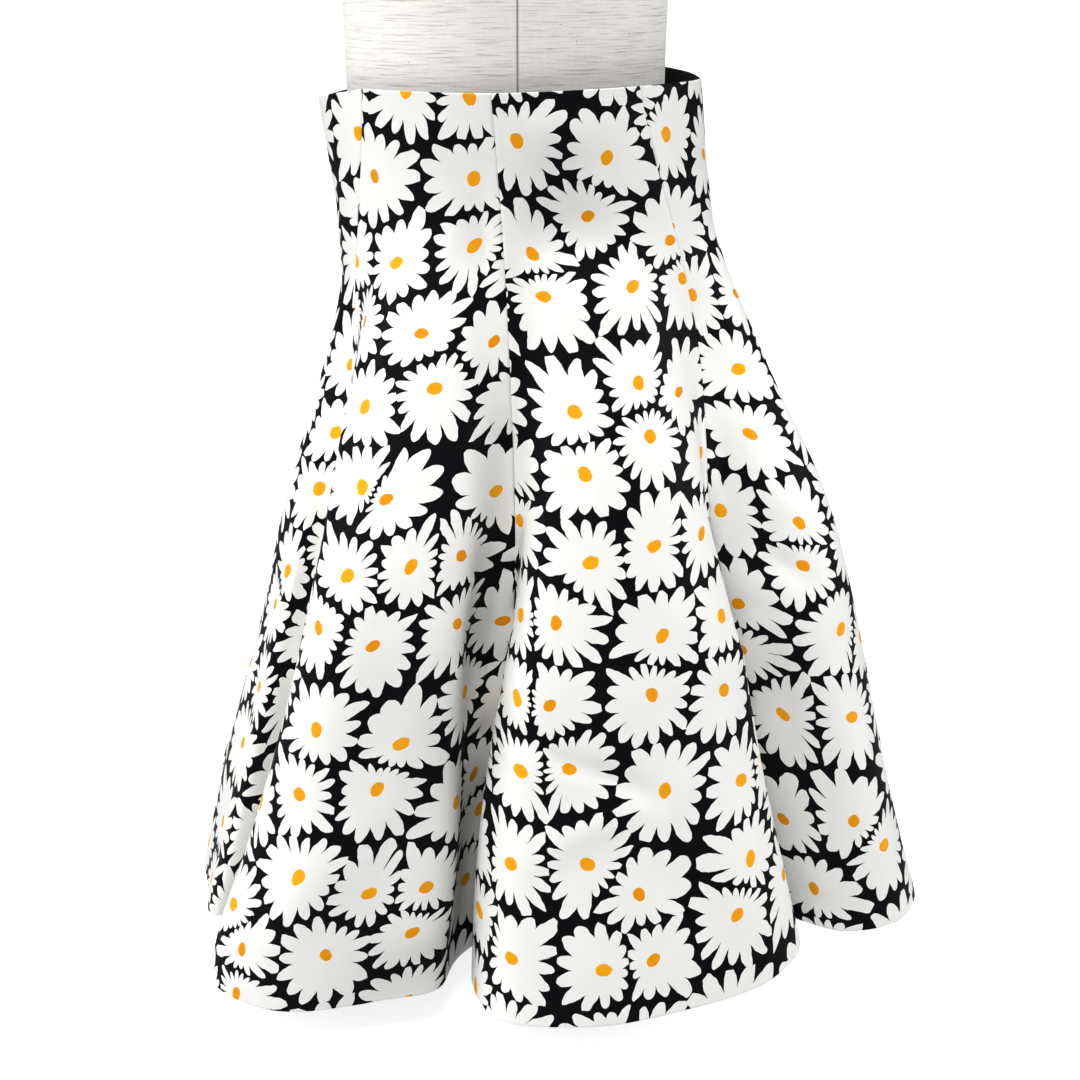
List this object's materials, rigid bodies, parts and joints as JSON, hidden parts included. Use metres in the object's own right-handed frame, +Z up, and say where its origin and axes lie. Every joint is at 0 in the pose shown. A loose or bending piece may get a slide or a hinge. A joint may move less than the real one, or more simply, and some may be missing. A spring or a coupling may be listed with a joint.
{
  "type": "pleated skirt on a limbless dress form",
  "caption": "High waisted satin skirt of flared gores with a daisy print, worn on a limbless linen dress form with a short pole and a round base.",
  "frame": {"origin": "centre of the round base's underside, on the floor", "axes": "+Z up along the form's pole, -Y towards the front of the skirt, +X towards the wearer's left"},
  "size_m": [0.5737, 0.5554, 1.0943],
  "materials": {
    "satin": "daisy printed satin",
    "facing_cloth": "black twill",
    "tape_cloth": "black woven tape",
    "zip_metal": "black enamel",
    "linen": "slubbed linen",
    "cap_wood": "varnished",
    "pole_steel": "satin",
    "base_paint": "satin white"
  },
  "bodies": {
    "skirt_on_form": {"gore_front_right": "satin", "gore_front_left": "satin", "gore_side_front_right": "satin", "gore_side_front_left": "satin", "gore_side_back_right": "satin", "gore_side_back_left": "satin", "gore_back_right": "satin", "gore_back_left": "satin", "waist_facing": "facing_cloth", "zip_tape": "tape_cloth", "zip_slider": "zip_metal", "form_torso": "linen", "form_neck_cap": "cap_wood", "form_pole": "pole_steel", "form_base": "base_paint"},
    "zip_pull": {"zip_pull": "zip_metal"}
  },
  "joints": [
    {"name": "zip_pull_swing", "type": "hinge", "parent": "skirt_on_form", "child": "zip_pull", "pos_m": [0.00735, 0.10214, 0.59758], "axis": [0.9986, 0, 0.0523], "range_deg": [0, 150]}
  ]
}
